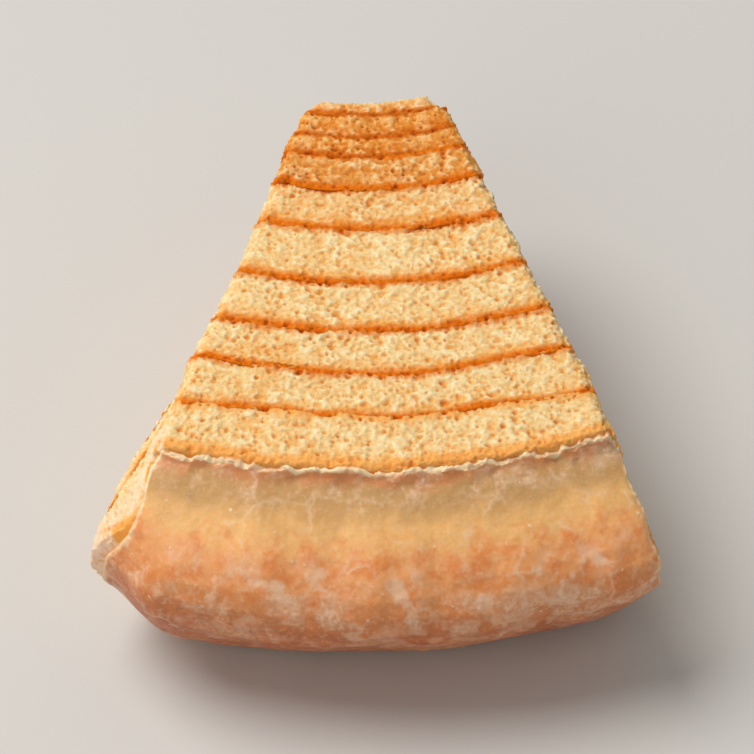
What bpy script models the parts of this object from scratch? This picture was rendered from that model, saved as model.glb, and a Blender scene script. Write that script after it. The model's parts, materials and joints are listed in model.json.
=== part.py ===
"""A wedge of baumkuchen, lying on its lower cut face, with the glazed rim towards -Y.

Ten baked rings of batter, thin at the hole and thicker outside, follow the swelling
ridge of the cake. A shell of sugar glaze covers the rim and has chipped at its edges.
"""

import math

import bmesh
import bpy
from mathutils import Vector, noise

# Lengths are in millimetres. The wedge is laid out round the cake's axis, then centred.
MM = 0.001
EXACT = 1e-6

# The whole cake.
HEIGHT = 22.5
HOLE_RADIUS = 19.6
RING_THICKNESSES = (2.0, 2.7, 2.4, 3.5, 4.7, 6.0, 5.5, 4.7, 4.9, 5.0)
LAST_LINE = len(RING_THICKNESSES)
GAP = 0.3

# The ridge of the rim: where it leaves the groove at the upper edge, how far it comes out
# and how deep under that edge, and how far out it still is at the lower edge.
RIDGE_START = 1.4
RIDGE_DEPTH = 10.0
RIDGE_OUT = 8.8
RIDGE_EASE = 0.8
RIDGE_SHARPNESS = 1.5
UNDER_OUT = 0.9
UNDER_CURVE = 1.7
# The rings within take up less of the ridge the nearer they are to the hole.
FIRST_SWOLLEN_LINE = 1
SWELL_POWER = 1.3

# The knife cuts: two upright planes that meet a little in front of the cake's axis.
CUTS_MEET = (1.3, -3.6)
LEFT_CUT = math.radians(-18.8)
RIGHT_CUT = math.radians(20.8)

# The cut faces swell out of the knife's planes, between these radii and down to these depths.
SWELL_LEFT = 3.7
SWELL_LEFT_RADII = (38.0, 62.0)
SWELL_LEFT_DEPTHS = (0.0, 9.5)
SWELL_LEFT_EASES = (13.0, 22.5)
SWELL_LEFT_LOST = 0.7
SWELL_RIGHT = 0.8
SWELL_RIGHT_RADII = (35.0, 62.0)
SWELL_RIGHT_DEPTHS = (0.0, 11.0)

# At the left the corner by the rim has broken away, deepest at the two edges.
BROKEN_CORNER = 3.4
CORNER_AT_TOP = -0.1
CORNER_AT_RIDGE = 2.0
CORNER_RIDGE_DEPTHS = (4.5, 10.0)
CORNER_LOST_BELOW = 3.2
CORNER_LOWER_DEPTHS = (15.0, 22.5)
RIGHT_CORNER = 0.1
RIGHT_CORNER_WIDTH = 1.5

# By the hole the corners are rounded, and the left face bulges a little.
INNER_CORNER = 2.6
INNER_CORNER_LEFT = 1.1
INNER_CORNER_RIGHT = 1.2
INNER_BULGE = 0.6
INNER_BULGE_RADII = (26.0, 31.0)

# The rim draws in towards its ends.
LEFT_ROUNDING = 3.1
LEFT_ROUNDING_WIDTH = 5.5
LEFT_ROUNDING_DEPTHS = (3.0, 9.0)
RIGHT_ROUNDING = 0.4
RIGHT_ROUNDING_WIDTH = 3.0
RIGHT_ROUNDING_DEPTHS = (6.0, 16.0)
# Under the ridge it draws in further, over a longer way.
LEFT_FOOT = 0.5
LEFT_FOOT_WIDTH = 9.0
RIGHT_FOOT = 1.7
RIGHT_FOOT_WIDTH = 15.0
FOOT_DEPTHS = (9.0, 18.0)

# Unevenness: how far a line wanders at the hole, between the rings and at the rim, how
# ragged the cut faces are, and how rough the upper face is.
WANDER_HOLE = 0.2
WANDER_RING = 0.5
WANDER_RIM = 0.75
FINE_SHARE = 0.3
CRAG = 0.4
TOP_ROUGH = 0.22
LINE_GROOVE = 0.12
SOFT_EDGE = 0.35
SOFT_RIM_EDGE = 0.12
SOFT_LOWER_EDGE = 0.14
EDGE_STRIP = 0.8

# The glaze: its coat, its two wavy edges, and the chips in the upper one, each with its
# place and half width as shares of the arc and its depth.
GLAZE_THICKNESS = 0.7
GLAZE_EDGE_SHARE = 0.62
GLAZE_EDGE_WIDTH = 0.03
GLAZE_TOP_WIDTH = 0.06
GLAZE_LOWER_EDGE = 0.7
GLAZE_LOWER_WAVE = 0.5
GLAZE_UPPER_EDGE = 0.08
GLAZE_JAG = 0.4
GLAZE_CHIPS = (
    (0.0, 0.025, 0.3),
    (0.05, 0.035, 0.45),
    (0.31, 0.03, 0.35),
    (0.47, 0.02, 0.3),
    (0.86, 0.022, 0.9),
    (1.0, 0.025, 0.3),
)
GLAZE_SHORT_LEFT = (0.1, 0.4)
GLAZE_WRAP_LEFT = 0.6
GLAZE_WRAP_DEPTHS = (6.5, 9.0)
GLAZE_SHORT_RIGHT = (0.0, 0.12)
GLAZE_CORNER = 0.6
GLAZE_CORNER_DEPTH = 2.0

# Lengths of the facets, the depths of their rows, and how often a place is worked out again.
ARC_STEP = 2.5
RIM_STEP = 1.25
GLAZE_STEP = 0.8
FEWEST_STEPS = 5
FIRST_CURVED_RING = 4
THICK_RING = 3.0
UPRIGHT_DEPTHS = (0.7, 4.5, 9.0, 13.5, 18.0, 21.9)
CURVED_DEPTHS = (0.7, 2.0, 3.3, 4.6, 6.2, 8.2, 10.5, 13.5, 17.0, 20.0, 21.9)
RIM_DEPTHS = (0.7, 1.4, 2.1, 2.9, 3.8, 4.8, 6.0, 7.5, 9.2, 11.3, 13.6, 16.0, 18.4, 20.4, 21.9)
THIN_ALONG = (0.5,)
THICK_ALONG = (0.14, 0.5, 0.86)
RIM_ALONG = (0.14, 0.4, 0.6, 0.76, 0.9)
PLACING_STEPS = 4
SHARP_ANGLE = math.radians(40)

# Finishes.
CRUMB = (0.905, 0.638, 0.305)
INNER_CRUMB = (0.79, 0.39, 0.115)
INNER_RINGS = 3
GLAZE = (0.60, 0.36, 0.17)
CRUMB_ROUGHNESS = 0.9
GLAZE_ROUGHNESS = 0.35


def clear_scene():
    for item in list(bpy.data.objects):
        bpy.data.objects.remove(item)


def ramp(limits, value):
    """Runs smoothly from 0 at the first limit to 1 at the second."""
    low, high = limits
    share = min(1.0, max(0.0, (value - low) / (high - low)))
    return share * share * (3.0 - 2.0 * share)


def near(width, distance):
    """1 at an edge, and smoothly down to 0 at a distance of the width."""
    return 1.0 - ramp((0.0, width), distance)


def grain(x, y=0.0, z=0.0):
    return noise.noise(Vector((x, y, z)))


def ridge(depth):
    """How far the rim has come out at a depth under the upper face."""
    if depth <= RIDGE_START:
        return 0.0
    if depth < RIDGE_DEPTH:
        share = (depth - RIDGE_START) / (RIDGE_DEPTH - RIDGE_START)
        return RIDGE_OUT * math.sin(0.5 * math.pi * share**RIDGE_EASE) ** RIDGE_SHARPNESS
    share = (depth - RIDGE_DEPTH) / (HEIGHT - RIDGE_DEPTH)
    return RIDGE_OUT - (RIDGE_OUT - UNDER_OUT) * share**UNDER_CURVE


def ring_radius(line, z):
    """The even radius of a line between two rings; line 0 is the wall of the hole."""
    share = max(0, line - FIRST_SWOLLEN_LINE) / (LAST_LINE - FIRST_SWOLLEN_LINE)
    start = HOLE_RADIUS + sum(RING_THICKNESSES[:line])
    return start + share**SWELL_POWER * ridge(HEIGHT - z)


def slant(line, z):
    """How much longer a line's face is than its height, where it leans."""
    step = 0.1
    lean = (ring_radius(line, z + step) - ring_radius(line, z - step)) / (2.0 * step)
    return math.hypot(1.0, lean)


def wander(line, angle, z):
    """How far a line strays from its even radius. Neighbouring lines stray alike."""
    arc = angle * ring_radius(line, HEIGHT)
    share = line / LAST_LINE
    size = WANDER_HOLE + (WANDER_RING - WANDER_HOLE) * ramp((0.0, 0.5), share)
    size += (WANDER_RIM - WANDER_RING) * ramp((0.8, 1.0), share)
    broad = grain(0.13 * arc, 0.12 * z, 0.6 * line)
    fine = grain(0.45 * arc, 0.30 * z, 0.8 * line + 40.0)
    return size * (broad + FINE_SHARE * fine)


def line_radius(line, angle, z, side):
    """The radius of a line, moved inwards (-1) or outwards (1) by half the gap."""
    return ring_radius(line, z) + wander(line, angle, z) + 0.5 * side * GAP * slant(line, z)


def left_reach(radius, z):
    """How far the left face stands outside the knife's plane."""
    depth = HEIGHT - z
    swell = SWELL_LEFT * ramp(SWELL_LEFT_DEPTHS, depth) * ramp(SWELL_LEFT_RADII, radius)
    swell *= 1.0 - SWELL_LEFT_LOST * ramp(SWELL_LEFT_EASES, depth)
    broken = CORNER_AT_TOP + CORNER_AT_RIDGE * ramp(CORNER_RIDGE_DEPTHS, depth)
    broken -= CORNER_LOST_BELOW * ramp(CORNER_LOWER_DEPTHS, depth)
    by_rim = near(BROKEN_CORNER, ring_radius(LAST_LINE, z) - radius)
    by_hole = near(INNER_CORNER, radius - HOLE_RADIUS)
    bulge = INNER_BULGE * (1.0 - ramp(INNER_BULGE_RADII, radius))
    return swell + (broken - swell) * by_rim + bulge - INNER_CORNER_LEFT * by_hole


def right_reach(radius, z):
    """How far the right face stands outside the knife's plane."""
    swell = SWELL_RIGHT * ramp(SWELL_RIGHT_DEPTHS, HEIGHT - z) * ramp(SWELL_RIGHT_RADII, radius)
    by_rim = near(RIGHT_CORNER_WIDTH, ring_radius(LAST_LINE, z) - radius)
    by_hole = near(INNER_CORNER, radius - HOLE_RADIUS)
    return swell - RIGHT_CORNER * by_rim - INNER_CORNER_RIGHT * by_hole


def cut_angle(radius, z, right):
    """The angle round the cake's axis at which a cut face meets a radius."""
    turn = RIGHT_CUT if right else LEFT_CUT
    along = Vector((math.sin(turn), -math.cos(turn)))
    meet = Vector(CUTS_MEET)
    forward = meet.dot(along)
    distance = -forward + math.sqrt(forward**2 - meet.dot(meet) + radius**2)
    point = meet + distance * along
    reach = right_reach(radius, z) if right else left_reach(radius, z)
    reach += CRAG * grain(0.55 * radius, 0.35 * z, 90.0 if right else 60.0)
    angle = math.atan2(point.x, -point.y)
    return angle + reach / radius if right else angle - reach / radius


def rim_rounding(angle, z):
    """How far the rim draws in towards its two ends, most of all at the left."""
    depth = HEIGHT - z
    radius = ring_radius(LAST_LINE, z)
    from_left = radius * (angle - cut_angle(radius, z, False))
    from_right = radius * (cut_angle(radius, z, True) - angle)
    left = LEFT_ROUNDING * ramp(LEFT_ROUNDING_DEPTHS, depth)
    right = RIGHT_ROUNDING * ramp(RIGHT_ROUNDING_DEPTHS, depth)
    ends = left * near(LEFT_ROUNDING_WIDTH, from_left)
    ends += right * near(RIGHT_ROUNDING_WIDTH, from_right)
    foot = LEFT_FOOT * near(LEFT_FOOT_WIDTH, from_left)
    foot += RIGHT_FOOT * near(RIGHT_FOOT_WIDTH, from_right)
    return ends + foot * ramp(FOOT_DEPTHS, depth)


def place(angle, radius, z):
    return Vector((radius * math.sin(angle), -radius * math.cos(angle), z))


def find_place(ring, across, along, z):
    """The angle and radius of a point in a ring. The lines wander round the cake and the cut
    faces are ragged, so each follows from the other, in a few steps."""
    radius = 0.5 * (ring_radius(ring, z) + ring_radius(ring + 1, z))
    for _ in range(PLACING_STEPS):
        left = cut_angle(radius, z, False)
        right = cut_angle(radius, z, True)
        angle = left + (right - left) * across
        inner = line_radius(ring, angle, z, 1.0 if ring else 0.0)
        outer = line_radius(ring + 1, angle, z, -1.0)
        if ring + 1 == LAST_LINE:
            outer -= rim_rounding(angle, z)
        radius = inner + (outer - inner) * along
    return angle, radius


def ring_point(ring, across, along, z):
    """A point of a ring, by its shares of the way across the wedge and out from the axis.
    The edges of the upper and lower faces are softened, where crumb has broken away."""
    angle, radius = find_place(ring, across, along, z)
    on_top = z > HEIGHT - EXACT
    on_face = on_top or z < EXACT
    on_side = min(across, 1.0 - across) < EXACT
    by_hole = ring == 0 and along < EXACT
    by_rim = ring + 1 == LAST_LINE and along > 1.0 - EXACT
    if on_top:
        flat = place(angle, radius, z)
        z += TOP_ROUGH * grain(0.5 * flat.x, 0.5 * flat.y, 11.0 + ring)
        if min(along, 1.0 - along) < EXACT:
            z -= LINE_GROOVE
    if on_face and on_side:
        angle += math.copysign(SOFT_EDGE / radius, 0.5 - across)
    if on_face and (by_hole or by_rim):
        radius += SOFT_EDGE if by_hole else -SOFT_RIM_EDGE
    if on_face and (on_side or by_hole or by_rim):
        down = SOFT_RIM_EDGE if by_rim and not on_side else SOFT_EDGE
        z += -down if on_top else SOFT_LOWER_EDGE
    return place(angle, radius, z)


def glaze_upper_edge(across):
    jag = abs(grain(21.0 * across, 0.0, 7.0)) + 0.7 * abs(grain(55.0 * across, 4.0, 7.0))
    depth = GLAZE_UPPER_EDGE + GLAZE_JAG * jag
    for middle, width, chip in GLAZE_CHIPS:
        depth += chip * max(0.0, 1.0 - abs(across - middle) / width)
    return HEIGHT - depth


def glaze_lower_edge(across):
    return GLAZE_LOWER_EDGE + GLAZE_LOWER_WAVE * abs(grain(14.0 * across, 2.0, 30.0))


def short_of_cut(limits, z, row):
    """How far the broken end of the glaze stops short of the cut face, most at its top."""
    least, most = limits
    corner = GLAZE_CORNER * near(GLAZE_CORNER_DEPTH, HEIGHT - z)
    return least + most * abs(grain(row, 0.5 * z, 17.0)) + corner


def short_of_left(z):
    """At the left the glaze has broken away above the ridge, and goes past the corner below."""
    below = ramp(GLAZE_WRAP_DEPTHS, HEIGHT - z)
    return (1.0 - below) * short_of_cut(GLAZE_SHORT_LEFT, z, 0.0) - below * GLAZE_WRAP_LEFT


def glaze_point(across, through, up):
    """A point of the glaze, by its shares of the way across, outwards and up."""
    low = glaze_lower_edge(across)
    z = low + (glaze_upper_edge(across) - low) * up
    middle = ring_radius(LAST_LINE, z)
    left = cut_angle(middle, z, False) + short_of_left(z) / middle
    right = cut_angle(middle, z, True) - short_of_cut(GLAZE_SHORT_RIGHT, z, 3.0) / middle
    angle = left + (right - left) * across
    radius = line_radius(LAST_LINE, angle, z, 1.0) - rim_rounding(angle, z)
    inside = min(1.0, min(across, 1.0 - across) / GLAZE_EDGE_WIDTH)
    inside *= min(1.0, (1.0 - up) / GLAZE_TOP_WIDTH)
    coat = GLAZE_THICKNESS * (GLAZE_EDGE_SHARE + (1.0 - GLAZE_EDGE_SHARE) * inside)
    return place(angle, radius + through * coat * slant(LAST_LINE, z), z)


def divided_box(across, along, up):
    """A closed unit box, cut by planes at the given shares of its three sides."""
    work = bmesh.new()
    bmesh.ops.create_cube(work, size=1.0)
    bmesh.ops.translate(work, verts=work.verts, vec=(0.5, 0.5, 0.5))
    for axis, shares in enumerate((across, along, up)):
        normal = Vector((0.0, 0.0, 0.0))
        normal[axis] = 1.0
        for share in shares:
            everything = work.verts[:] + work.edges[:] + work.faces[:]
            bmesh.ops.bisect_plane(work, geom=everything, plane_co=share * normal, plane_no=normal)
    return work


def finish(name, work, colour, roughness):
    """Makes the object with its own material, its faces turned outwards again after the bend."""
    bmesh.ops.reverse_faces(work, faces=work.faces)
    bmesh.ops.triangulate(work, faces=work.faces)
    mesh = bpy.data.meshes.new(name)
    work.to_mesh(mesh)
    work.free()
    item = bpy.data.objects.new(name, mesh)
    bpy.context.collection.objects.link(item)
    material = bpy.data.materials.new(name)
    material.use_nodes = True
    shader = material.node_tree.nodes["Principled BSDF"]
    shader.inputs["Base Color"].default_value = (*colour, 1.0)
    shader.inputs["Roughness"].default_value = roughness
    shader.inputs["Metallic"].default_value = 0.0
    mesh.materials.append(material)
    mesh.shade_smooth()
    mesh.set_sharp_from_angle(angle=SHARP_ANGLE)
    return item


def even_cuts(length, step):
    """The shares at which a length is cut into even steps."""
    count = max(FEWEST_STEPS, round(length / step))
    return [number / count for number in range(1, count)]


def rows(depths):
    return [1.0 - depth / HEIGHT for depth in depths]


def add_ring(ring):
    radius = ring_radius(ring, HEIGHT) + 0.5 * RING_THICKNESSES[ring]
    arc = radius * (cut_angle(radius, HEIGHT, True) - cut_angle(radius, HEIGHT, False))
    along = THICK_ALONG if RING_THICKNESSES[ring] > THICK_RING else THIN_ALONG
    depths = CURVED_DEPTHS if ring >= FIRST_CURVED_RING else UPRIGHT_DEPTHS
    step = ARC_STEP
    if ring + 1 == LAST_LINE:
        along = RIM_ALONG
        depths = RIM_DEPTHS
        step = RIM_STEP
    strip = EDGE_STRIP / arc
    work = divided_box([strip, *even_cuts(arc, step), 1.0 - strip], along, rows(depths))
    for vert in work.verts:
        vert.co = ring_point(ring, vert.co.x, vert.co.y, vert.co.z * HEIGHT) * MM
    colour = INNER_CRUMB if ring < INNER_RINGS else CRUMB
    return finish(f"ring_{ring + 1:02d}", work, colour, CRUMB_ROUGHNESS)


def add_glaze():
    arc = ring_radius(LAST_LINE, HEIGHT) * (RIGHT_CUT - LEFT_CUT)
    work = divided_box(even_cuts(arc, GLAZE_STEP), [], rows(RIM_DEPTHS))
    for vert in work.verts:
        vert.co = glaze_point(*vert.co) * MM
    return finish("sugar_glaze", work, GLAZE, GLAZE_ROUGHNESS)


def centre_wedge(items):
    """Moves the middle of the wedge's base to the origin."""
    corners = [vert.co for item in items for vert in item.data.vertices]
    low = Vector([min(corner[axis] for corner in corners) for axis in range(3)])
    high = Vector([max(corner[axis] for corner in corners) for axis in range(3)])
    shift = Vector((-0.5 * (low.x + high.x), -0.5 * (low.y + high.y), -low.z))
    for item in items:
        for vert in item.data.vertices:
            vert.co += shift


clear_scene()
pieces = [add_ring(ring) for ring in range(LAST_LINE)]
pieces.append(add_glaze())
centre_wedge(pieces)
wedge = bpy.data.objects.new("wedge", None)
bpy.context.collection.objects.link(wedge)
for piece in pieces:
    piece.parent = wedge
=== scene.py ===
"""A wedge of sugar-glazed baumkuchen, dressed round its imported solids."""

import json
import math

import bpy
import numpy as np
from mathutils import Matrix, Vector

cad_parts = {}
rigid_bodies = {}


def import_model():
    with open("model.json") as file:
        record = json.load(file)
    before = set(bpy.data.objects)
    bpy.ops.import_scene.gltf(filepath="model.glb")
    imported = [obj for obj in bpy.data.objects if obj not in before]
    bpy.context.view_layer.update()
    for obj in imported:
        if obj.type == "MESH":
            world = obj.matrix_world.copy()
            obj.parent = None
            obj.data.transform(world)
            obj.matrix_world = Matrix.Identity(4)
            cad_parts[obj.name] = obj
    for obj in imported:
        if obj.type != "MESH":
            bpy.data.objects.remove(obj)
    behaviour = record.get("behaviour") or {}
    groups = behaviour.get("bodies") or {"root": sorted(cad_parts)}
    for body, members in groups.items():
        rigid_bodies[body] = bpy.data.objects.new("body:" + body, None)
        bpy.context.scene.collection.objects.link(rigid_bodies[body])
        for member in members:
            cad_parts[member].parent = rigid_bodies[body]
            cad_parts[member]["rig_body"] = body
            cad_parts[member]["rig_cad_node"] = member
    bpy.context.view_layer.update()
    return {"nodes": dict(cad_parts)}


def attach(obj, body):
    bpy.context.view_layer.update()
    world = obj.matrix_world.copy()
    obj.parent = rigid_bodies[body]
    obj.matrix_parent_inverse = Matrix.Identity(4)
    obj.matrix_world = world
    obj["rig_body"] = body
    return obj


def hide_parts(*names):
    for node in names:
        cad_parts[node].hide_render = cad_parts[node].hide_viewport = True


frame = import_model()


# Ten baked rings. Batter is poured over a turning roller and browned, coat after coat, so each
# ring is pale sponge that ends in a thin brown skin. The next coat bakes on to that skin and
# so holds the cake together, and the knife leaves open crumb on the cut faces.

# Lengths are in millimetres, and MM turns them into Blender's metres.
MM = 0.001
RINGS = 10
CAKE_AXIS = (-1.374, 44.743)
MERGED = 0.001

# The solids stand a gap apart. Each ring reaches past the middle of it, so that they meet.
HALF_GAP = 0.15
RING_OVERLAP = 0.22
MOST_LEAN = 3.0
LEAST_FACING = 0.3
UPPER_EDGE = 22.0
LINE_FILLED = 0.14

# What a face of a solid looks at, kept as the attribute "side".
SHOWN = 0
OUTWARD = 1
INWARD = 2
FAR_AWAY = 99.0


def pick_only(item):
    for other in bpy.context.selected_objects:
        other.select_set(False)
    item.select_set(True)
    bpy.context.view_layer.objects.active = item


def copied_solid(node_name, piece_name):
    """A merged copy of a CAD node, which the new piece is worked from."""
    pick_only(frame["nodes"][node_name])
    bpy.ops.object.duplicate()
    piece = bpy.context.object
    piece.name = piece_name
    piece.data.name = piece_name
    piece.parent = None
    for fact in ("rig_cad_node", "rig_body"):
        del piece[fact]
    bpy.ops.object.mode_set(mode="EDIT")
    bpy.ops.mesh.select_all(action="SELECT")
    bpy.ops.mesh.remove_doubles(threshold=MERGED * MM)
    bpy.ops.object.mode_set(mode="OBJECT")
    piece.data.materials.clear()
    return piece


def outward_from_axis(place):
    out = Vector((place.x / MM - CAKE_AXIS[0], place.y / MM - CAKE_AXIS[1], 0.0))
    return out.normalized()


def side_of(face, hole_shows):
    facing = face.normal.dot(outward_from_axis(face.center))
    sideways = math.sqrt(max(0.0, 1.0 - facing**2 - face.normal.z**2))
    if abs(facing) <= max(LEAST_FACING, sideways):
        return SHOWN
    if facing > 0.0:
        return OUTWARD
    return SHOWN if hole_shows else INWARD


def mark_sides(piece, hole_shows, outward, inward):
    """Marks which faces lie against a neighbour, and moves them that far towards it."""
    mesh = piece.data
    sides = [side_of(face, hole_shows) for face in mesh.polygons]
    layer = mesh.attributes.new("side", "INT", "FACE")
    layer.data.foreach_set("value", sides)
    shifts = {}
    for face, side in zip(mesh.polygons, sides):
        if side == SHOWN:
            continue
        facing = abs(face.normal.dot(outward_from_axis(face.center)))
        lean = min(MOST_LEAN, 1.0 / facing)
        for corner in face.vertices:
            shift = lean * outward if side == OUTWARD else -lean * inward
            shifts.setdefault(corner, []).append(shift)
    for corner, found in shifts.items():
        place = mesh.vertices[corner].co
        place += outward_from_axis(place) * (MM * sum(found) / len(found))
        if place.z > UPPER_EDGE * MM:
            place.z += LINE_FILLED * MM


def node(tree, kind, *values, **settings):
    """Adds a node: its inputs in order, each a value, a socket to link or None to leave."""
    made = tree.nodes.new(kind)
    for setting, value in settings.items():
        setattr(made, setting, value)
    for number, value in enumerate(values):
        if isinstance(value, bpy.types.NodeSocket):
            tree.links.new(value, made.inputs[number])
        elif value is not None:
            made.inputs[number].default_value = value
    return made


def maths(tree, operation, *values):
    return node(tree, "ShaderNodeMath", *values, operation=operation).outputs[0]


def product(tree, first, *others):
    for other in others:
        first = maths(tree, "MULTIPLY", first, other)
    return first


def vectors(tree, operation, *values):
    made = node(tree, "ShaderNodeVectorMath", *values, operation=operation)
    return made.outputs["Value" if operation == "DOT_PRODUCT" else "Vector"]


def scaled(tree, place, factor):
    return vectors(tree, "SCALE", place, None, None, factor)


def split(tree, place):
    return node(tree, "ShaderNodeSeparateXYZ", place).outputs


def eased(tree, value, start, end, low=0.0, high=1.0):
    """Runs smoothly from low to high as a value goes from start to end."""
    made = node(tree, "ShaderNodeMapRange", value, start, end, low, high)
    made.interpolation_type = "SMOOTHSTEP"
    return made.outputs[0]


def millimetres(tree, place):
    return scaled(tree, place, 1.0 / MM)


def noise(tree, place, size, detail=2.0, roughness=0.5):
    """Even noise round 0.5, with lumps of about that size in millimetres."""
    made = node(tree, "ShaderNodeTexNoise", place, None, 1.0 / size, detail, roughness)
    return made.outputs[0]


def lumps(tree, place, size, detail=2.0, roughness=0.5):
    """The same noise, round nought."""
    return maths(tree, "SUBTRACT", noise(tree, place, size, detail, roughness), 0.5)


def patches(tree, place, size, start, end, low=0.0, high=1.0, detail=2.0, roughness=0.5):
    """Patches of about that size, eased in as the noise goes from start to end."""
    return eased(tree, noise(tree, place, size, detail, roughness), start, end, low, high)


def cells(tree, place, size, randomness=1.0):
    """Cells of that size: the distance from a cell's middle in millimetres, and its colour."""
    made = node(tree, "ShaderNodeTexVoronoi", place, None, 1.0 / size)
    made.inputs["Randomness"].default_value = randomness
    return maths(tree, "MULTIPLY", made.outputs["Distance"], size), made.outputs["Color"]


def faces_of(tree, solid, side):
    marked = node(tree, "GeometryNodeInputNamedAttribute", "side", data_type="INT").outputs[0]
    wanted = node(tree, "FunctionNodeCompare", data_type="INT", operation="EQUAL")
    tree.links.new(marked, wanted.inputs[2])
    wanted.inputs[3].default_value = side
    apart = node(tree, "GeometryNodeSeparateGeometry", solid, wanted.outputs[0], domain="FACE")
    return apart.outputs[0]


def distance_to(tree, faces):
    """How far the nearest of these faces is, in millimetres, and far away if there are none."""
    near = node(tree, "GeometryNodeProximity", faces, target_element="FACES")
    absent = maths(tree, "SUBTRACT", 1.0, near.outputs["Is Valid"])
    found = maths(tree, "MULTIPLY", near.outputs["Distance"], 1.0 / MM)
    return maths(tree, "MULTIPLY_ADD", absent, FAR_AWAY, found)


def relief_tree(name, *amounts):
    """Starts a relief, which is worked into a piece by looking at the piece's solid."""
    tree = bpy.data.node_groups.new(name, "GeometryNodeTree")
    face = tree.interface
    face.new_socket("Geometry", in_out="INPUT", socket_type="NodeSocketGeometry")
    face.new_socket("Solid", in_out="INPUT", socket_type="NodeSocketObject")
    for amount in amounts:
        face.new_socket(amount, in_out="INPUT", socket_type="NodeSocketFloat")
    face.new_socket("Geometry", in_out="OUTPUT", socket_type="NodeSocketGeometry")
    start = node(tree, "NodeGroupInput").outputs
    solid = node(tree, "GeometryNodeObjectInfo", start["Solid"]).outputs["Geometry"]
    place = millimetres(tree, node(tree, "GeometryNodeInputPosition").outputs[0])
    return tree, start, solid, place


def finish_relief(tree, shape, move, masks):
    """Keeps the masks as attributes for the material, and moves the piece's points."""
    for name, value in masks.items():
        kept = node(tree, "GeometryNodeStoreNamedAttribute", shape, domain="POINT")
        kept.data_type = "FLOAT"
        kept.inputs["Name"].default_value = name
        tree.links.new(value, kept.inputs["Value"])
        shape = kept.outputs[0]
    moved = node(tree, "GeometryNodeSetPosition", shape)
    tree.links.new(move, moved.inputs["Offset"])
    smooth = node(tree, "GeometryNodeSetShadeSmooth", moved.outputs[0])
    end = node(tree, "NodeGroupOutput")
    tree.links.new(smooth.outputs[0], end.inputs[0])
    return tree


GRAINS = (
    {"size": 0.85, "detail": 3.0, "roughness": 0.64, "reach": 0.6},
    {"size": 0.42, "detail": 1.0, "roughness": 0.5, "reach": 0.42},
)
PORES = (
    {"size": 0.9, "share": 0.4, "least": 0.12, "most": 0.36, "depth": 0.26},
    {"size": 0.5, "share": 0.6, "least": 0.09, "most": 0.24, "depth": 0.2},
    {"size": 3.4, "share": 0.25, "least": 0.25, "most": 0.55, "depth": 0.4},
)
PORE_RIM = (1.1, 0.35)
WAVE_SIZE = 2.6
WAVE_REACH = 0.3
LINE_REACH = (0.5, 0.28)
LINE_TORN = {"size": 0.9, "start": 0.54, "end": 0.68, "high": -0.35}
COARSER = {"size": 3.6, "start": 0.35, "end": 0.65, "low": 0.8, "high": 1.15}
PIT_HEIGHTS = (0.02, -0.24)
TIP_HEIGHTS = (0.0, 0.15)

# Away from the cut faces the relief fades out, and then the faces are out of sight.
RELIEF_DEPTHS = (0.55, 0.15)
HIDDEN_DEPTHS = (0.5, 0.8)

# The wall of the hole was baked against the roller, and the underside is pressed flat.
WALL_FACING = (-0.75, -0.95)
WALL_RELIEF = 0.5
UNDERSIDE_FACING = (-0.6, -0.9)
UNDERSIDE_RELIEF = 0.04

# Syrup has run down the left cut face and dried white, within this reach of the glaze.
SUGARED_FACING = (-0.3, -0.6)
SUGARED_REACH = (4.2, 3.0)
SUGARED_STRAY = 2.4
SUGARED_RELIEF = 0.75


def pores(tree, place, size, share, least, most, depth):
    """Round pores of random width, dug that deep in a share of the cells."""
    middle, colour = cells(tree, place, size)
    chance = split(tree, colour)
    radius = eased(tree, chance[0], 0.0, 1.0, least, most)
    there = maths(tree, "LESS_THAN", chance[1], share)
    bowl = eased(tree, maths(tree, "DIVIDE", middle, radius), *PORE_RIM)
    return product(tree, bowl, there, -depth)


def open_crumb(tree, place, nearest):
    """The height of grains, pores and torn skin, and the masks of pits and of raised tips."""
    height = 0.0
    for grain in GRAINS:
        bump = lumps(tree, place, grain["size"], grain["detail"], grain["roughness"])
        height = maths(tree, "MULTIPLY_ADD", bump, grain["reach"], height)
    for pore in PORES:
        height = maths(tree, "ADD", height, pores(tree, place, **pore))
    sunk = patches(tree, place, **LINE_TORN)
    height = maths(tree, "MULTIPLY_ADD", eased(tree, nearest, *LINE_REACH), sunk, height)
    height = product(tree, height, patches(tree, place, **COARSER))
    return height, eased(tree, height, *PIT_HEIGHTS), eased(tree, height, *TIP_HEIGHTS)


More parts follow.
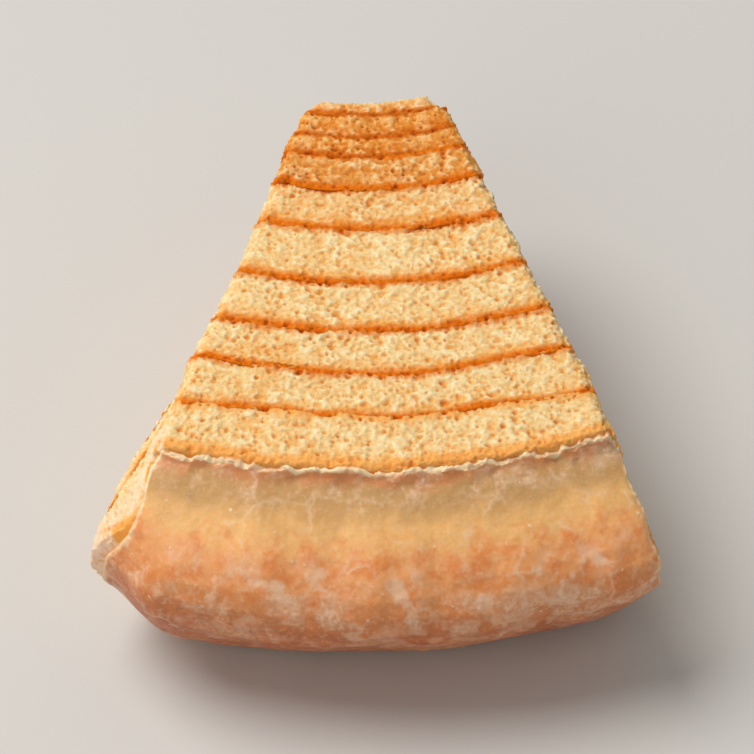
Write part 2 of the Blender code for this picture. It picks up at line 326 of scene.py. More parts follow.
def crumb_relief():
    """The knife's open crumb: grains, pits and pores, and the sunken skin between rings."""
    tree, start, solid, place = relief_tree("crumb_relief", "Sugared")
    skin = distance_to(tree, faces_of(tree, solid, OUTWARD))
    inner = distance_to(tree, faces_of(tree, solid, INWARD))
    shown = faces_of(tree, solid, SHOWN)
    depth = distance_to(tree, shown)
    across = node(tree, "GeometryNodeSampleNearestSurface", shown, data_type="FLOAT_VECTOR")
    tree.links.new(node(tree, "GeometryNodeInputNormal").outputs[0], across.inputs["Value"])
    across = across.outputs[0]
    aside, _, upward = split(tree, across)

    height, pit, tip = open_crumb(tree, place, maths(tree, "MINIMUM", skin, inner))
    wave = lumps(tree, place, WAVE_SIZE)
    height = maths(tree, "MULTIPLY_ADD", wave, WAVE_REACH, height)
    height = product(tree, height, eased(tree, depth, *RELIEF_DEPTHS))
    from_axis = vectors(tree, "SUBTRACT", place, (*CAKE_AXIS, 0.0))
    level_out = vectors(tree, "MULTIPLY", from_axis, (1.0, 1.0, 0.0))
    outward = vectors(tree, "NORMALIZE", level_out)
    wall = eased(tree, vectors(tree, "DOT_PRODUCT", across, outward), *WALL_FACING)
    height = product(tree, height, eased(tree, wall, 0.0, 1.0, 1.0, WALL_RELIEF))
    pressed = eased(tree, upward, *UNDERSIDE_FACING, 1.0, UNDERSIDE_RELIEF)
    height = maths(tree, "MINIMUM", height, pressed)
    stray = noise(tree, place, size=1.6, detail=3.0, roughness=0.6)
    soaked = maths(tree, "MULTIPLY_ADD", stray, SUGARED_STRAY, skin)
    sugared = product(
        tree,
        eased(tree, soaked, *SUGARED_REACH),
        eased(tree, aside, *SUGARED_FACING),
        start["Sugared"],
    )
    height = product(tree, height, eased(tree, sugared, 0.0, 1.0, MM, SUGARED_RELIEF * MM))
    masks = {
        "sugared": sugared,
        "wall": wall,
        "skin": maths(tree, "SUBTRACT", skin, RING_OVERLAP),
        "inner": maths(tree, "SUBTRACT", inner, RING_OVERLAP),
        "pit": pit,
        "tip": tip,
        "hidden": eased(tree, depth, *HIDDEN_DEPTHS),
    }
    return finish_relief(tree, start["Geometry"], scaled(tree, across, height), masks)


RING_VOXEL = 0.13
SMOOTHING = 0.5
SMOOTHINGS = 2
HIDDEN_KEPT = 0.12


def remeshed(piece, voxel):
    """Even small faces all over, with the facets of the solid eased away."""
    pick_only(piece)
    remesh = piece.modifiers.new("remesh", "REMESH")
    remesh.mode = "VOXEL"
    remesh.voxel_size = voxel * MM
    bpy.ops.object.modifier_apply(modifier=remesh.name)
    smooth = piece.modifiers.new("smooth", "SMOOTH")
    smooth.factor = SMOOTHING
    smooth.iterations = SMOOTHINGS
    bpy.ops.object.modifier_apply(modifier=smooth.name)


def worked_by(piece, group, **values):
    modifier = piece.modifiers.new(group.name, "NODES")
    modifier.node_group = group
    for socket in group.interface.items_tree:
        if socket.in_out == "INPUT" and socket.name in values:
            modifier[socket.identifier] = values[socket.name]
    bpy.ops.object.modifier_apply(modifier=modifier.name)


def thinned(piece, kept):
    """Fewer faces where the piece lies against its neighbour, out of sight."""
    mesh = piece.data
    weights = np.empty(len(mesh.vertices), np.float32)
    mesh.attributes["hidden"].data.foreach_get("value", weights)
    group = piece.vertex_groups.new(name="out_of_sight")
    group.add(np.flatnonzero(weights > 0.5).tolist(), 1.0, "REPLACE")
    mesh.attributes.remove(mesh.attributes["hidden"])
    decimate = piece.modifiers.new("thin", "DECIMATE")
    decimate.vertex_group = group.name
    decimate.ratio = 1.0 - float(weights.mean()) * (1.0 - kept)
    bpy.ops.object.modifier_apply(modifier=decimate.name)
    piece.vertex_groups.clear()


BROWN_STAIN = (0.97, 0.84, 0.62)
BAKED_WALL = (0.70, 0.29, 0.06, 1.0)
SUGARED = (0.97, 0.71, 0.47, 1.0)
WHITE_SUGAR = (1.0, 0.70, 0.53, 1.0)
SYRUP = (0.90, 0.40, 0.07, 1.0)

# Toast and stains come in patches of noise, each with its size and how far it goes.
BROAD_TOAST = {"size": 6.0, "start": 0.5, "end": 0.75, "high": 0.4}
MELLOW = {"size": 1.7, "start": 0.48, "end": 0.64, "high": 0.42}
STAINS = {"size": 0.3, "start": 0.62, "end": 0.32, "roughness": 0.6}
WALL_MOTTLE = {
    "size": 1.6, "start": 0.35, "end": 0.65, "low": 0.5, "high": 0.95,
    "detail": 4.0, "roughness": 0.65,
}
CRUMB_FLECKS = (
    {"size": 0.6, "start": 0.52, "end": 0.66, "high": 0.6, "roughness": 0.6},
    {"size": 0.3, "start": 0.5, "end": 0.64, "high": 0.6, "roughness": 0.6},
)
TOAST_STRAY = 1.8
TOAST_REACH = (1.0, 0.1)
PIT_SHARE = 0.85

# How far the brown skin frays, as shares of its width: the line, its soft side, bare tips.
LINE_WIDTH = (1.0, 0.3)
LINE_SOFT = (1.9, 0.9)
LINE_CLEAR = (0.9, 1.8)
LINE_UNEVEN = {"size": 3.2, "start": 0.36, "end": 0.64, "low": 0.78, "high": 1.2}
LINE_STRAY = 0.6
LINE_SOFT_SHARE = 0.55
INNER_SET_BACK = 0.05
# Painted shade in the pits along the skin: how near to the skin it reaches, and how dark it goes.
BROWNED_PIT_SHADE_REACH = (0.8, 0.4)
BROWNED_PIT_SHADE_SHARE = 0.7
TIP_SHARES = (0.4, 0.75)
WALL_TIPS = 0.12

# The dried syrup: white below these levels, and clear along the skin above the others.
SUGAR_GRAINS = {
    "size": 0.8, "start": 0.36, "end": 0.56, "low": 0.35, "high": 0.95,
    "detail": 3.0, "roughness": 0.6,
}
WHITE_LEVELS = (16.5, 13.5)
SYRUP_RUNS = {"size": 3.0, "start": 0.42, "end": 0.56, "high": 0.9}
SYRUP_REACH = (0.75, 0.35)
SYRUP_LEVELS = (13.0, 15.0)


def attribute(tree, name):
    return node(tree, "ShaderNodeAttribute", attribute_name=name).outputs["Fac"]


def mixed(tree, share, first, second):
    made = node(tree, "ShaderNodeMix", data_type="RGBA")
    for socket, value in ((0, share), (6, first), (7, second)):
        if isinstance(value, bpy.types.NodeSocket):
            tree.links.new(value, made.inputs[socket])
        else:
            made.inputs[socket].default_value = value
    return made.outputs[2]


def stained(tree, share, colour):
    """The colour turned browner by a share."""
    return mixed(tree, share, colour, vectors(tree, "MULTIPLY", colour, BROWN_STAIN))


def sugared_colour(tree, place, skin, colour):
    """Dried syrup on the cut crumb: white low down, with clear syrup by the skin above."""
    level = split(tree, place)[2]
    sugared = attribute(tree, "sugared")
    grains = product(tree, patches(tree, place, **SUGAR_GRAINS), sugared)
    white = mixed(tree, eased(tree, level, *WHITE_LEVELS), SUGARED, WHITE_SUGAR)
    colour = mixed(tree, grains, colour, white)
    syrup = product(
        tree,
        patches(tree, place, **SYRUP_RUNS),
        eased(tree, skin, *SYRUP_REACH),
        eased(tree, level, *SYRUP_LEVELS),
        sugared,
    )
    return mixed(tree, syrup, colour, SYRUP)


def baked_crumb_group():
    """The colour of a ring, from its distance to its brown skin, its pits and its grains, with
    painted shade in its pits and a painted highlight on its raised tips.
    """
    tree = bpy.data.node_groups.new("baked_crumb", "ShaderNodeTree")
    face = tree.interface
    # Tip is the palest crumb, and is also laid on the raised tips as a painted highlight.
    for name in ("Pale", "Toasted", "Skin", "Burnt", "Pit", "Tip"):
        face.new_socket(name, in_out="INPUT", socket_type="NodeSocketColor")
    face.new_socket("Toast Width", in_out="INPUT", socket_type="NodeSocketFloat")
    face.new_socket("Skin Width", in_out="INPUT", socket_type="NodeSocketFloat")
    face.new_socket("Color", in_out="OUTPUT", socket_type="NodeSocketColor")
    face.new_socket("Height", in_out="OUTPUT", socket_type="NodeSocketFloat")
    start = node(tree, "NodeGroupInput").outputs
    place = millimetres(tree, node(tree, "ShaderNodeTexCoord").outputs["Object"])
    skin = attribute(tree, "skin")
    pit = attribute(tree, "pit")
    wall = attribute(tree, "wall")

    # The crumb is toasted towards the skin and in flecks and mellow in patches, and its pits carry
    # painted shade over a crumb that is browner there too.
    stray = lumps(tree, place, size=0.7, detail=3.0, roughness=0.65)
    toast = maths(tree, "MULTIPLY_ADD", stray, TOAST_STRAY, skin)
    toast = maths(tree, "DIVIDE", toast, start["Toast Width"])
    colour = mixed(tree, eased(tree, toast, *TOAST_REACH), start["Pale"], start["Toasted"])
    colour = mixed(tree, patches(tree, place, **BROAD_TOAST), colour, start["Toasted"])
    colour = mixed(tree, patches(tree, place, **MELLOW), colour, start["Tip"])
    for fleck in CRUMB_FLECKS:
        colour = mixed(tree, patches(tree, place, **fleck), colour, start["Toasted"])
    colour = mixed(tree, product(tree, pit, PIT_SHARE), colour, start["Pit"])

    # The skin is a frayed line on both sides of the join, with painted shade in its pits, darker
    # than the skin's own brown.
    nearest = maths(tree, "ADD", attribute(tree, "inner"), INNER_SET_BACK)
    nearest = maths(tree, "MINIMUM", skin, nearest)
    frayed = maths(tree, "MULTIPLY_ADD", stray, LINE_STRAY, nearest)
    width = product(tree, start["Skin Width"], patches(tree, place, **LINE_UNEVEN))
    frayed = maths(tree, "DIVIDE", frayed, width)
    soft = eased(tree, frayed, *LINE_SOFT, high=LINE_SOFT_SHARE)
    colour = mixed(tree, soft, colour, start["Skin"])
    colour = mixed(tree, eased(tree, frayed, *LINE_WIDTH), colour, start["Skin"])
    burnt = product(tree, eased(tree, nearest, *BROWNED_PIT_SHADE_REACH, high=BROWNED_PIT_SHADE_SHARE), pit)
    colour = mixed(tree, burnt, colour, start["Burnt"])

    baked = product(tree, patches(tree, place, **WALL_MOTTLE), wall)
    colour = mixed(tree, baked, colour, BAKED_WALL)
    colour = stained(tree, patches(tree, place, **STAINS), colour)

    # Raised tips get the palest colour as a painted highlight, less so by the skin and on the wall
    # of the hole.
    tip_highlight = mixed(tree, eased(tree, frayed, *reversed(LINE_CLEAR)), start["Tip"], start["Toasted"])
    tips = product(
        tree,
        attribute(tree, "tip"),
        eased(tree, frayed, *LINE_CLEAR, *TIP_SHARES),
        eased(tree, wall, 0.0, 1.0, 1.0, WALL_TIPS),
    )
    colour = mixed(tree, tips, colour, tip_highlight)
    colour = sugared_colour(tree, place, skin, colour)
    end = node(tree, "NodeGroupOutput")
    tree.links.new(colour, end.inputs["Color"])
    grit = noise(tree, place, size=0.24, detail=3.0, roughness=0.65)
    tree.links.new(grit, end.inputs["Height"])


def new_material(name):
    material = bpy.data.materials.new(name)
    material.use_nodes = True
    tree = material.node_tree
    return material, tree, tree.nodes["Principled BSDF"]


def bumped(tree, shader, height, strength, depth):
    bump = node(tree, "ShaderNodeBump", strength, depth * MM)
    tree.links.new(height, bump.inputs["Height"])
    tree.links.new(bump.outputs[0], shader.inputs["Normal"])


def crumb_material(name, toast_width, skin_width, **paints):
    material, tree, shader = new_material(name)
    crumb = node(tree, "ShaderNodeGroup", node_tree=bpy.data.node_groups["baked_crumb"])
    for socket, paint in paints.items():
        crumb.inputs[socket.title()].default_value = (*paint, 1.0)
    crumb.inputs["Toast Width"].default_value = toast_width
    crumb.inputs["Skin Width"].default_value = skin_width
    tree.links.new(crumb.outputs["Color"], shader.inputs["Base Color"])
    bumped(tree, shader, crumb.outputs["Height"], strength=0.75, depth=0.13)
    shader.inputs["Roughness"].default_value = 0.9
    shader.inputs["Specular IOR Level"].default_value = 0.06
    shader.inputs["Subsurface Weight"].default_value = 0.5
    shader.inputs["Subsurface Radius"].default_value = (0.8, 0.65, 0.5)
    shader.inputs["Subsurface Scale"].default_value = 0.5 * MM
    return material


SKIN = (0.78, 0.185, 0.006)
# Painted shade for the pits along the brown skin, darker than the skin's own brown.
BROWNED_PIT_SHADE = (0.50, 0.09, 0.005)

relief = crumb_relief()
baked_crumb_group()
# In each crumb below, pit is painted shade in the pits, over a crumb that is browner there too.
hole_crumb = crumb_material(
    "hole_crumb",
    pale=(0.93, 0.62, 0.27),
    toasted=(0.80, 0.29, 0.04),
    skin=(0.66, 0.16, 0.01),
    burnt=BROWNED_PIT_SHADE,
    pit=(0.66, 0.20, 0.015),
    tip=(0.99, 0.84, 0.54),
    toast_width=1.7,
    skin_width=0.28,
)
inner_crumb = crumb_material(
    "inner_crumb",
    pale=(0.85, 0.39, 0.085),
    toasted=(0.71, 0.21, 0.02),
    skin=(0.64, 0.15, 0.01),
    burnt=BROWNED_PIT_SHADE,
    pit=(0.50, 0.10, 0.004),
    tip=(0.96, 0.66, 0.30),
    toast_width=1.8,
    skin_width=0.28,
)
fourth_crumb = crumb_material(
    "fourth_crumb",
    pale=(0.80, 0.385, 0.10),
    toasted=(0.75, 0.24, 0.025),
    skin=SKIN,
    burnt=BROWNED_PIT_SHADE,
    pit=(0.56, 0.13, 0.01),
    tip=(0.97, 0.72, 0.38),
    toast_width=1.4,
    skin_width=0.34,
)
fifth_crumb = crumb_material(
    "fifth_crumb",
    pale=(0.88, 0.63, 0.31),
    toasted=(0.86, 0.38, 0.08),
    skin=SKIN,
    burnt=BROWNED_PIT_SHADE,
    pit=(0.76, 0.25, 0.03),
    tip=(0.98, 0.82, 0.52),
    toast_width=2.2,
    skin_width=0.47,
)
pale_crumb = crumb_material(
    "pale_crumb",
    pale=(0.89, 0.70, 0.38),
    toasted=(0.87, 0.45, 0.12),
    skin=SKIN,
    burnt=BROWNED_PIT_SHADE,
    pit=(0.80, 0.30, 0.04),
    tip=(0.98, 0.83, 0.53),
    toast_width=1.9,
    skin_width=0.47,
)
rim_crumb = crumb_material(
    "rim_crumb",
    pale=(0.89, 0.71, 0.39),
    toasted=(0.90, 0.50, 0.155),
    skin=(0.94, 0.46, 0.135),
    burnt=(0.85, 0.34, 0.07),
    pit=(0.80, 0.28, 0.035),
    tip=(0.98, 0.82, 0.52),
    toast_width=1.7,
    skin_width=0.42,
)

# From the hole outwards: the browner rings, the pale ones, and the last one at the rim.
RING_FINISHES = (hole_crumb, inner_crumb, inner_crumb, fourth_crumb, fifth_crumb)
RING_FINISHES += (pale_crumb,) * (RINGS - 1 - len(RING_FINISHES)) + (rim_crumb,)

for number in range(1, RINGS + 1):
    solid_name = f"ring_{number:02d}"
    solid = copied_solid(solid_name, "solid")
    mark_sides(solid, number == 1, HALF_GAP + RING_OVERLAP, HALF_GAP + RING_OVERLAP)
    pick_only(solid)
    bpy.ops.object.duplicate()
    ring = bpy.context.object
    ring.name = f"baked_ring_{number:02d}"
    remeshed(ring, RING_VOXEL)
    worked_by(ring, relief, Solid=solid, Sugared=1.0 if number == RINGS else 0.0)
    thinned(ring, HIDDEN_KEPT)
    ring.data.materials.append(RING_FINISHES[number - 1])
    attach(ring, "root")
    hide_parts(solid_name)
    bpy.data.objects.remove(solid)


# The sugar glaze. Hot syrup is brushed over the rim and dries to a thin, half clear coat. It
# follows the rim's ridge, has crystallised white in patches, and has chipped along the
# knife's edges.

# Levels are heights above the underside, in millimetres too. Frost and veins come first, then
# single crystals, and then the chipped edges.
GLAZE_VOXEL = 0.155
GLAZE_WAVES = (
    {"size": 6.0, "detail": 1.0, "reach": 0.5},
    {"size": 1.8, "detail": 2.0, "reach": 0.25},
    {"size": 0.5, "detail": 1.0, "reach": 0.07},
)
LOWER_FROST = (16.6, 13.0)
UPPER_FROST = (19.8, 20.8)
HEAVIER_ACROSS = (-4.0, 14.0)
HEAVIER_BY = (-0.01, 0.07)
SOFT_FROST = (0.48, 0.72)
SHARP_FROST = (0.54, 0.62)
FROST_EDGE = 0.55
FROST_LIFT = 0.2
GRAIN_MIDDLE = 0.42
VEIN_WIDTH = 0.3
VEIN_LEVELS = (18.5, 16.0)
VEIN_SHARES = (0.35, 0.45)
STRAND_LEVELS = (17.5, 15.0)
VEIN_LIFT = 0.04
CRYSTAL_LIFT = 0.07
CRYSTAL_RADII = (0.07, 0.17)
CRYSTAL_RIM = (1.0, 0.6)
CRYSTAL_LEVELS = (13.0, 18.0)
CRYSTAL_SHARES = (0.08, 0.34)
CRYSTAL_SPACING = 1.0
EDGE_REACH = (0.5, 0.1)
EDGE_THINNED = {
    "size": 1.3, "start": 0.35, "end": 0.65, "low": -0.18, "high": 0.06,
    "detail": 3.0, "roughness": 0.6,
}
TORN = {
    "size": 1.6, "start": 0.4, "end": 0.64, "high": -0.5,
    "detail": 4.0, "roughness": 0.65,
}
TORN_REACH = (0.9, 0.1)
TORN_LEVELS = (19.5, 21.0)
BARE_REACH = (0.15, 0.45)
UNDER_REACH = (0.12, 0.05)


def edge_distance(tree, place, size):
    """The distance in millimetres to the borders of cells of that size."""
    made = node(tree, "ShaderNodeTexVoronoi", feature="DISTANCE_TO_EDGE")
    tree.links.new(place, made.inputs["Vector"])
    made.inputs["Scale"].default_value = 1.0 / size
    return maths(tree, "MULTIPLY", made.outputs["Distance"], size)


def bent(tree, place, size, reach):
    """The place, moved about by noise of that size."""
    made = node(tree, "ShaderNodeTexNoise", place, None, 1.0 / size, 2.0)
    even = vectors(tree, "SUBTRACT", made.outputs["Color"], (0.5, 0.5, 0.5))
    return vectors(tree, "ADD", place, scaled(tree, even, reach))


def ridge(tree, value, middle, width, height=1.0):
    """A thin line where a value passes the middle."""
    away = maths(tree, "ABSOLUTE", maths(tree, "SUBTRACT", value, middle))
    return eased(tree, away, width, 0.0, 0.0, height)


def frost_and_veins(tree, place, level):
    """Frost in the upper band and in sharp patches low down, heavier to the right, and the
    thin white veins that rim the patches, cross the glaze and fray into strands."""
    heavier = eased(tree, split(tree, place)[0], *HEAVIER_ACROSS, *HEAVIER_BY)
    lower = eased(tree, level, *LOWER_FROST)
    drifts = bent(tree, place, size=3.0, reach=2.0)
    soft = noise(tree, drifts, size=2.2, detail=4.0, roughness=0.65)
    soft = eased(tree, maths(tree, "ADD", soft, heavier), *SOFT_FROST)
    soft = product(tree, soft, eased(tree, level, *UPPER_FROST))
    sharp = noise(tree, bent(tree, place, size=2.4, reach=1.6), size=4.2)
    sharp = maths(tree, "ADD", sharp, heavier)
    frozen = product(tree, eased(tree, sharp, *SHARP_FROST), lower)
    frost = maths(tree, "MAXIMUM", soft, frozen)

    rims = product(
        tree,
        ridge(tree, sharp, FROST_EDGE, width=0.016, height=0.4),
        lower,
        patches(tree, place, size=2.4, start=0.42, end=0.58),
    )
    paths = edge_distance(tree, bent(tree, place, size=1.6, reach=2.2), size=4.2)
    crossing = product(
        tree,
        eased(tree, paths, VEIN_WIDTH, 0.0),
        patches(tree, place, size=3.0, start=0.45, end=0.65),
        eased(tree, level, *VEIN_LEVELS, *VEIN_SHARES),
    )
    threads = noise(tree, place, size=2.6, detail=4.0, roughness=0.6)
    strands = product(
        tree,
        ridge(tree, threads, 0.5, width=0.02, height=0.42),
        patches(tree, place, size=3.5, start=0.5, end=0.66),
        eased(tree, level, *STRAND_LEVELS),
    )
    vein = maths(tree, "MAXIMUM", maths(tree, "MAXIMUM", crossing, rims), strands)
    return frost, vein


def crystals(tree, place, level):
    """Single grains of sugar, more of them on the upper band."""
    middle, colour = cells(tree, bent(tree, place, size=0.3, reach=0.3), CRYSTAL_SPACING)
    chance = split(tree, colour)
    radius = eased(tree, chance[0], 0.0, 1.0, *CRYSTAL_RADII)
    share = eased(tree, level, *CRYSTAL_LEVELS, *CRYSTAL_SHARES)
    there = maths(tree, "LESS_THAN", chance[1], share)
    return product(tree, eased(tree, maths(tree, "DIVIDE", middle, radius), *CRYSTAL_RIM), there)


def glaze_relief():
    """The glaze: slack waves, raised white veins and frost, and a crumbled broken edge."""
    tree, start, solid, place = relief_tree("glaze_relief")
    broken = distance_to(tree, faces_of(tree, solid, SHOWN))
    inner = distance_to(tree, faces_of(tree, solid, INWARD))
    level = split(tree, place)[2]
    frost, vein = frost_and_veins(tree, place, level)
    crystal = crystals(tree, place, level)

    height = 0.0
    for wave in GLAZE_WAVES:
        bump = lumps(tree, place, wave["size"], wave["detail"])
        height = maths(tree, "MULTIPLY_ADD", bump, wave["reach"], height)
    grains = noise(tree, place, size=0.4, roughness=0.6)
    grains = maths(tree, "SUBTRACT", grains, GRAIN_MIDDLE)
    height = maths(tree, "MULTIPLY_ADD", product(tree, grains, frost), FROST_LIFT, height)
    height = maths(tree, "MULTIPLY_ADD", vein, VEIN_LIFT, height)
    height = maths(tree, "MULTIPLY_ADD", crystal, CRYSTAL_LIFT, height)
    near_edge = eased(tree, broken, *EDGE_REACH)
    thinner = patches(tree, place, **EDGE_THINNED)
    height = maths(tree, "MULTIPLY_ADD", near_edge, thinner, height)
    height = product(tree, height, eased(tree, inner, *BARE_REACH), MM)
    torn = product(
        tree,
        patches(tree, place, **TORN),
        eased(tree, broken, *TORN_REACH),
        eased(tree, level, *TORN_LEVELS, 0.0, MM),
    )
    swollen = scaled(tree, node(tree, "GeometryNodeInputNormal").outputs[0], height)
    fallen = node(tree, "ShaderNodeCombineXYZ", 0.0, 0.0, torn).outputs[0]
    masks = {
        "frost": frost,
        "vein": vein,
        "crystal": crystal,
        "broken": broken,
        "lift": inner,
        "hidden": eased(tree, inner, *UNDER_REACH),
    }
    move = vectors(tree, "ADD", swollen, fallen)
    return finish_relief(tree, start["Geometry"], move, masks)


# The glaze's colours from its broken upper edge down, and of what lies in it. The bands down the
# ridge carry painted shade on the shoulder and at the foot, and painted light on the bulge, over
# the glaze's own tone.
BAND = (0.76, 0.31, 0.12, 1.0)
# Shoulder and foot hold painted shade, and the bulge painted light, over the glaze's own tone.
SHOULDER_SHADE = (0.61, 0.36, 0.145, 1.0)
BULGE_LIGHT = (0.96, 0.56, 0.22, 1.0)
BELLY = (0.97, 0.45, 0.18, 1.0)
FOOT_SHADE = (0.50, 0.125, 0.03, 1.0)
ORANGE = (0.82, 0.26, 0.065, 1.0)
PINK = (0.92, 0.60, 0.41, 1.0)
FROST = (0.93, 0.66, 0.49, 1.0)
DULL_FROST = (0.75, 0.39, 0.22, 1.0)
VEIN = (0.96, 0.74, 0.55, 1.0)
CRYSTAL = (1.0, 0.80, 0.58, 1.0)
BROKEN_EDGE = (1.0, 0.76, 0.46, 1.0)
SOAKED_CRUMB = (0.86, 0.36, 0.11, 1.0)

# The patterns stand a little taller than they are wide, and the levels stray up and down.
DRAWN_OUT = (1.0, 1.0, 0.9)
LEVEL_STRAY = 2.2
BULGE_LEVELS = (17.2, 19.0)
SHOULDER_LEVELS = (18.6, 20.6)
BAND_LEVELS = (20.7, 21.7)
FOOT_LEVELS = (18.5, 9.0)
ORANGE_LEVELS = (19.4, 17.6)
CLOUD_LEVELS = (18.2, 16.0)
WHITE_FROST_LEVELS = (7.0, 15.5)

# What lies in the glaze, and how its broken edge turns dry and white.
ORANGE_DEPTHS = {"size": 1.6, "start": 0.44, "end": 0.64, "high": 0.65, "detail": 3.0}
CLOUDS = {
    "size": 2.2, "start": 0.48, "end": 0.64, "high": 0.85,
    "detail": 3.0, "roughness": 0.6,
}
HAZE = {"size": 0.5, "start": 0.5, "end": 0.7, "high": 0.3, "detail": 3.0, "roughness": 0.7}
FROST_GRAINS = {
    "size": 0.4, "start": 0.35, "end": 0.65, "low": 0.25, "high": 0.85,
    "detail": 3.0, "roughness": 0.65,
}
GLAZE_STAINS = {"size": 0.3, "start": 0.65, "end": 0.35, "high": 0.5, "roughness": 0.6}
CHIPPED = {"size": 1.4, "start": 0.36, "end": 0.52, "low": 0.55}
CRYSTAL_SHARE = 0.75
BROKEN_WIDTH = (0.42, 0.16)
SOAKED_LIFT = (0.34, 0.2)
SOAKED_REACH = (0.1, 0.02)
WET_AND_DRY = (0.36, 0.8)
CLEAR_AND_BROKEN = (0.35, 0.05)


def fading(tree, level, low, high, left):
    """Whole above the high level, and down to the share that is left at the low one."""
    return eased(tree, level, low, high, left, 1.0)


def glaze_colour(tree, place, level):
    """The clear glaze over its crumb: bands along the rim, with painted shade on the shoulder and
    foot and painted light on the bulge, orange depths and pink clouds.
    """
    drawn = vectors(tree, "MULTIPLY", place, DRAWN_OUT)
    # Painted light on the bulge, and painted shade on the shoulder and at the foot.
    colour = mixed(tree, eased(tree, level, *BULGE_LEVELS), BELLY, BULGE_LIGHT)
    colour = mixed(tree, eased(tree, level, *SHOULDER_LEVELS), colour, SHOULDER_SHADE)
    colour = mixed(tree, eased(tree, level, *BAND_LEVELS), colour, BAND)
    colour = mixed(tree, eased(tree, level, *FOOT_LEVELS), colour, FOOT_SHADE)
    orange = product(
        tree,
        patches(tree, drawn, **ORANGE_DEPTHS),
        eased(tree, level, *ORANGE_LEVELS),
        fading(tree, level, low=8.0, high=15.0, left=0.4),
    )
    colour = mixed(tree, orange, colour, ORANGE)
    cloud = product(
        tree,
        patches(tree, drawn, **CLOUDS),
        eased(tree, level, *CLOUD_LEVELS),
        fading(tree, level, low=12.0, high=16.0, left=0.4),
    )
    colour = mixed(tree, cloud, colour, PINK)
    return mixed(tree, patches(tree, place, **HAZE), colour, PINK)


def glaze_material():
    material, tree, shader = new_material("sugar_glaze")
    place = millimetres(tree, node(tree, "ShaderNodeTexCoord").outputs["Object"])
    stray = lumps(tree, place, size=2.0, detail=3.0, roughness=0.6)
    level = maths(tree, "MULTIPLY_ADD", stray, LEVEL_STRAY, split(tree, place)[2])
    colour = glaze_colour(tree, place, level)

    frosted = product(
        tree,
        attribute(tree, "frost"),
        patches(tree, place, **FROST_GRAINS),
        fading(tree, level, low=6.0, high=15.0, left=0.45),
    )
    white = mixed(tree, eased(tree, level, *WHITE_FROST_LEVELS), DULL_FROST, FROST)
    colour = mixed(tree, frosted, colour, white)
    vein = fading(tree, level, low=6.0, high=14.0, left=0.3)
    colour = mixed(tree, product(tree, attribute(tree, "vein"), vein), colour, VEIN)
    colour = stained(tree, patches(tree, place, **GLAZE_STAINS), colour)
    crystal = product(tree, attribute(tree, "crystal"), CRYSTAL_SHARE)
    colour = mixed(tree, crystal, colour, CRYSTAL)

    broken = attribute(tree, "broken")
    edge = product(
        tree,
        eased(tree, broken, *BROKEN_WIDTH),
        patches(tree, place, **CHIPPED),
        fading(tree, level, low=17.0, high=21.0, left=0.5),
    )
    colour = mixed(tree, edge, colour, BROKEN_EDGE)
    soaked = eased(tree, attribute(tree, "lift"), *SOAKED_LIFT)
    soaked = product(tree, soaked, eased(tree, broken, *SOAKED_REACH))
    colour = mixed(tree, soaked, colour, SOAKED_CRUMB)
    tree.links.new(colour, shader.inputs["Base Color"])
    dry = maths(tree, "MAXIMUM", frosted, edge)
    rough = eased(tree, dry, 0.0, 1.0, *WET_AND_DRY)
    tree.links.new(rough, shader.inputs["Roughness"])
    ripples = noise(tree, place, size=0.3, detail=3.0, roughness=0.6)
    bumped(tree, shader, ripples, strength=0.3, depth=0.04)
    clear = eased(tree, edge, 0.0, 1.0, *CLEAR_AND_BROKEN)
    tree.links.new(clear, shader.inputs["Subsurface Weight"])
    shader.inputs["Specular IOR Level"].default_value = 0.35
    shader.inputs["Subsurface Radius"].default_value = (1.0, 0.65, 0.45)
    shader.inputs["Subsurface Scale"].default_value = 1.0 * MM
    return material


glaze_solid = copied_solid("sugar_glaze", "glaze_solid")
mark_sides(glaze_solid, False, 0.0, HALF_GAP)
pick_only(glaze_solid)
bpy.ops.object.duplicate()
glaze = bpy.context.object
glaze.name = "rim_glaze"
remeshed(glaze, GLAZE_VOXEL)
worked_by(glaze, glaze_relief(), Solid=glaze_solid)
thinned(glaze, HIDDEN_KEPT)
glaze.data.materials.append(glaze_material())
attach(glaze, "root")
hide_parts("sugar_glaze")
bpy.data.objects.remove(glaze_solid)


# The studio: a plain pale floor, a large soft lamp high at the back left, a weaker one in
# front at the left, a dim white surround, and the camera 50 degrees up, in front.

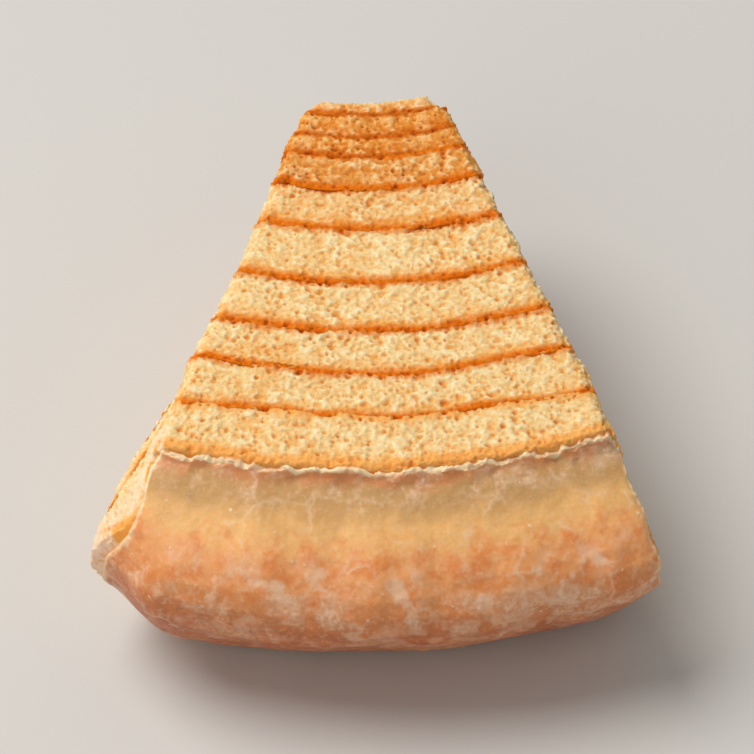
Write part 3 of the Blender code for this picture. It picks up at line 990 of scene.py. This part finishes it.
FLOOR_SIZE = 2.0
FLOOR_COLOUR = (0.64, 0.625, 0.60, 1.0)
WINDOW_PLACE = (-0.36, 0.14, 0.7)
FILL_PLACE = (-0.3, -0.5, 0.5)
SURROUND_COLOUR = (1.0, 0.98, 0.95, 1.0)
SURROUND_STRENGTH = 0.28
CAMERA_AIM = (0.06, -0.30, 14.73)
CAMERA_HEIGHT = math.radians(50.0)
CAMERA_DISTANCE = 550.0
CAMERA_LENS = 305.0
CAMERA_SENSOR = 36.0


def soft_lamp(name, place, size, power, colour):
    data = bpy.data.lights.new(name, "AREA")
    data.shape = "DISK"
    data.size = size
    data.energy = power
    data.color = colour
    lamp = bpy.data.objects.new(name, data)
    bpy.context.scene.collection.objects.link(lamp)
    lamp.location = place
    lamp.rotation_euler = (-Vector(place)).to_track_quat("-Z", "Y").to_euler()


bpy.ops.mesh.primitive_plane_add(size=FLOOR_SIZE, location=(0.0, 0.0, 0.0))
ground = bpy.context.object
ground.name = "floor"
pale_floor, _, floor_shader = new_material("pale_floor")
floor_shader.inputs["Base Color"].default_value = FLOOR_COLOUR
floor_shader.inputs["Roughness"].default_value = 0.7
ground.data.materials.append(pale_floor)

soft_lamp("window_lamp", WINDOW_PLACE, size=0.55, power=5.35, colour=(1.0, 0.98, 0.95))
soft_lamp("fill_lamp", FILL_PLACE, size=0.5, power=0.8, colour=(1.0, 0.97, 0.93))
surround = bpy.data.worlds.new("studio")
surround.use_nodes = True
background = surround.node_tree.nodes["Background"]
background.inputs["Color"].default_value = SURROUND_COLOUR
background.inputs["Strength"].default_value = SURROUND_STRENGTH
bpy.context.scene.world = surround
bpy.context.scene.view_settings.view_transform = "Standard"

lens = bpy.data.cameras.new("camera")
lens.lens = CAMERA_LENS
lens.sensor_width = CAMERA_SENSOR
lens.clip_start = 0.01
lens.clip_end = 10.0
camera = bpy.data.objects.new("camera", lens)
bpy.context.scene.collection.objects.link(camera)
back = Vector((0.0, -math.cos(CAMERA_HEIGHT), math.sin(CAMERA_HEIGHT)))
camera.location = (Vector(CAMERA_AIM) + CAMERA_DISTANCE * back) * MM
camera.rotation_euler = back.to_track_quat("Z", "Y").to_euler()
bpy.context.scene.camera = camera
